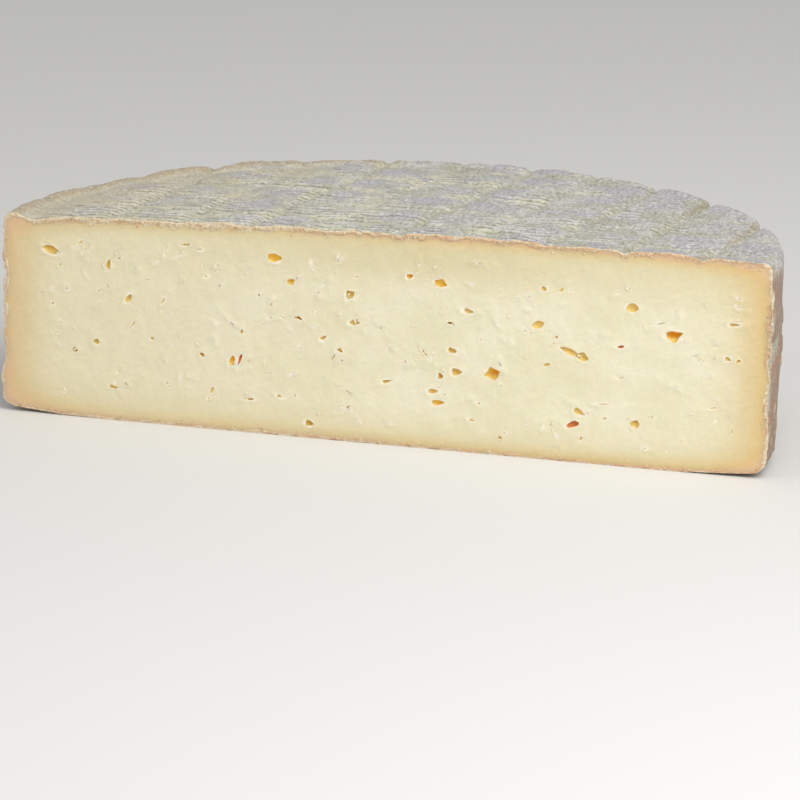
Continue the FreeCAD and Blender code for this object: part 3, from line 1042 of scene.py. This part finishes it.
# Inside an opening the colour goes from straw to amber, deep amber and red-brown as it deepens: the
# paste's own amber, with painted shade growing into the hollow
eye_depth = cut_face.map("eye_depth")
in_eye = eye_depth.step(0.03, 0.13)
well_in_eye = eye_depth.step(0.12, 0.5)
far_in_eye = (eye_depth + 0.5 * mottle + 1.2 * cloud).step(0.45, 0.95)
deep_in_eye = eye_depth.step(1.05, 2.0)
eye_colour = cut_face.mix(well_in_eye, hollow_straw, light_amber)
eye_colour = cut_face.mix(far_in_eye * (0.3 + 0.7 * cloud.step(0.0, 0.08)), eye_colour, amber)
eye_colour = cut_face.mix(deep_in_eye, eye_colour, shaded_deep_amber)
eye_colour = cut_face.mix(cut_face.map("red_eye") * 0.85, eye_colour, shaded_red_brown)
eye_colour = cut_face.mix(fine.step(-0.05, 0.15) * (1 - deep_in_eye) * 0.4, eye_colour, hollow_straw)
colour = cut_face.mix(in_eye, colour, eye_colour)
drags = cut_face.noise((18, 1, 1.5), detail=4, roughness=0.6, turn=(0, drag, 0))
normal = cut_face.bump(cut_face.noise(1.1, detail=5, roughness=0.65), 0.22, 0.6)
normal = cut_face.bump(drags, 0.2, 0.5, normal)
cut_face.plug(cut_face.surface, {
    "Base Color": colour,
    "Roughness": 0.44 + 0.22 * mottle - 0.14 * in_eye,
    "Normal": normal,
    "Specular IOR Level": 0.4,
    "Subsurface Weight": 0.25,
    "Subsurface Radius": (1.0, 0.62, 0.28),
    "Subsurface Scale": 2.2 * MM,
})
wear(paste, cut_face)
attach(paste, "root")
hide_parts("half_wheel")

# --- Paste flakes ------------------------------------------------------------------------
# Small soft flakes of curd that the knife tore up at the edges of the openings and between
# them. They lie almost flat on the cut face. One ball is copied, and each copy is flattened,
# made uneven and laid in its place.
flake_count = 420
flakes, balls = many_balls("paste_flakes", flake_count, 2)
rng = np.random.default_rng(19)
for number in range(flake_count):
    ball = balls[number]
    across, up, length, width, tilt, corners, depth = openings[rng.integers(len(openings))]
    turn = math.radians(tilt)
    hand = rng.choice((-1, 1))
    along = rng.normal(0, length * 0.45)
    athwart = hand * (width / 2 + abs(rng.normal(0.15, 0.3)))
    if number % 5 == 0:
        across, up = rng.uniform(-92, 92), rng.uniform(5, 47)
        turn = rng.uniform(-1.5, 1.5)
    ball *= (1 + 0.7 * lumps(ball, 0.8, 400 + number) + 0.4 * lumps(ball, 0.4, 900 + number))[:, None]
    ball *= (rng.uniform(0.25, 0.8), rng.uniform(0.05, 0.12), rng.uniform(0.15, 0.4))
    lean = turn + rng.normal(0, 0.35)
    leant_across = ball[:, 0] * math.cos(lean) - ball[:, 2] * math.sin(lean)
    leant_up = ball[:, 0] * math.sin(lean) + ball[:, 2] * math.cos(lean)
    middle_across = across + along * math.cos(turn) - athwart * math.sin(turn)
    middle_up = up + along * math.sin(turn) + athwart * math.cos(turn)
    ball[:, 0] = middle_across + leant_across
    ball[:, 1] -= paste_proud - 0.03 + face_relief(np.array([middle_across]), np.array([middle_up]))
    ball[:, 2] = middle_up + leant_up
write_places(flakes, balls.reshape(-1, 3))
put_in_place(flakes)
bpy.ops.object.shade_smooth()

flake_cream = paint(240, 228, 190)

curd = Finish("paste_flakes")
curd_tone = curd.noise(3, detail=3)
curd.plug(curd.surface, {
    "Base Color": curd.mix(curd_tone.step(0.0, 0.3), flake_cream, smear_white),
    "Roughness": 0.5 + 0.2 * curd_tone,
    "Normal": curd.bump(curd.noise(0.4), 0.05, 0.5),
    "Specular IOR Level": 0.4,
})
wear(flakes, curd)
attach(flakes, "root")
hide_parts("half_wheel")

# --- Floor, light and camera -------------------------------------------------------------
# A plain pale floor under soft studio light: one large lamp in front, above and to the
# right, a weaker one on the left and an even sky. The camera stands far off, a little to
# the right of the cut face and above it.
bpy.ops.object.select_all(action="DESELECT")
bpy.ops.mesh.primitive_plane_add(size=12)
floor = bpy.context.object
floor.name = "floor"
pale = Finish("floor")
pale.plug(pale.surface, {"Base Color": paint(226, 225, 222), "Roughness": 0.8, "Specular IOR Level": 0.2})
wear(floor, pale)

world = bpy.data.worlds.new("sky")
world.use_nodes = True
world.node_tree.nodes["Background"].inputs["Color"].default_value = (1.0, 1.0, 1.0, 1.0)
world.node_tree.nodes["Background"].inputs["Strength"].default_value = 0.5
bpy.context.scene.world = world


def lamp(name, azimuth, elevation, distance, size, power):
    """A square soft lamp that faces the cheese."""
    light = bpy.data.lights.new(name, "AREA")
    light.size = size
    light.energy = power
    piece = bpy.data.objects.new(name, light)
    bpy.context.scene.collection.objects.link(piece)
    side, rise = math.radians(azimuth), math.radians(elevation)
    level = math.cos(rise) * distance
    piece.location = (math.sin(side) * level, -math.cos(side) * level, math.sin(rise) * distance)
    piece.rotation_euler = (math.pi / 2 - rise, 0, side)


lamp("key lamp", azimuth=46, elevation=46, distance=0.8, size=0.6, power=4.55)
lamp("fill lamp", azimuth=-45, elevation=30, distance=1.6, size=1.0, power=2.2)

camera_yaw = math.radians(15.19)
camera_pitch = math.radians(15.10)
camera_roll = math.radians(1.09)
camera_distance = 1366 * MM
aim_right = 5.5 * MM
aim_up = 11.1 * MM
camera = bpy.data.cameras.new("camera")
camera.lens = 243.9
camera.sensor_width = 36
camera.clip_end = 50
eye = bpy.data.objects.new("camera", camera)
bpy.context.scene.collection.objects.link(eye)
turned = Matrix.Rotation(camera_yaw, 4, "Z") @ Matrix.Rotation(math.pi / 2 - camera_pitch, 4, "X")
turned = turned @ Matrix.Rotation(camera_roll, 4, "Z")
moved_back = Matrix.Translation((aim_right, aim_up, camera_distance))
eye.matrix_world = Matrix.Translation((0, cut_plane, 0)) @ turned @ moved_back
bpy.context.scene.camera = eye
bpy.context.scene.view_settings.view_transform = "Standard"
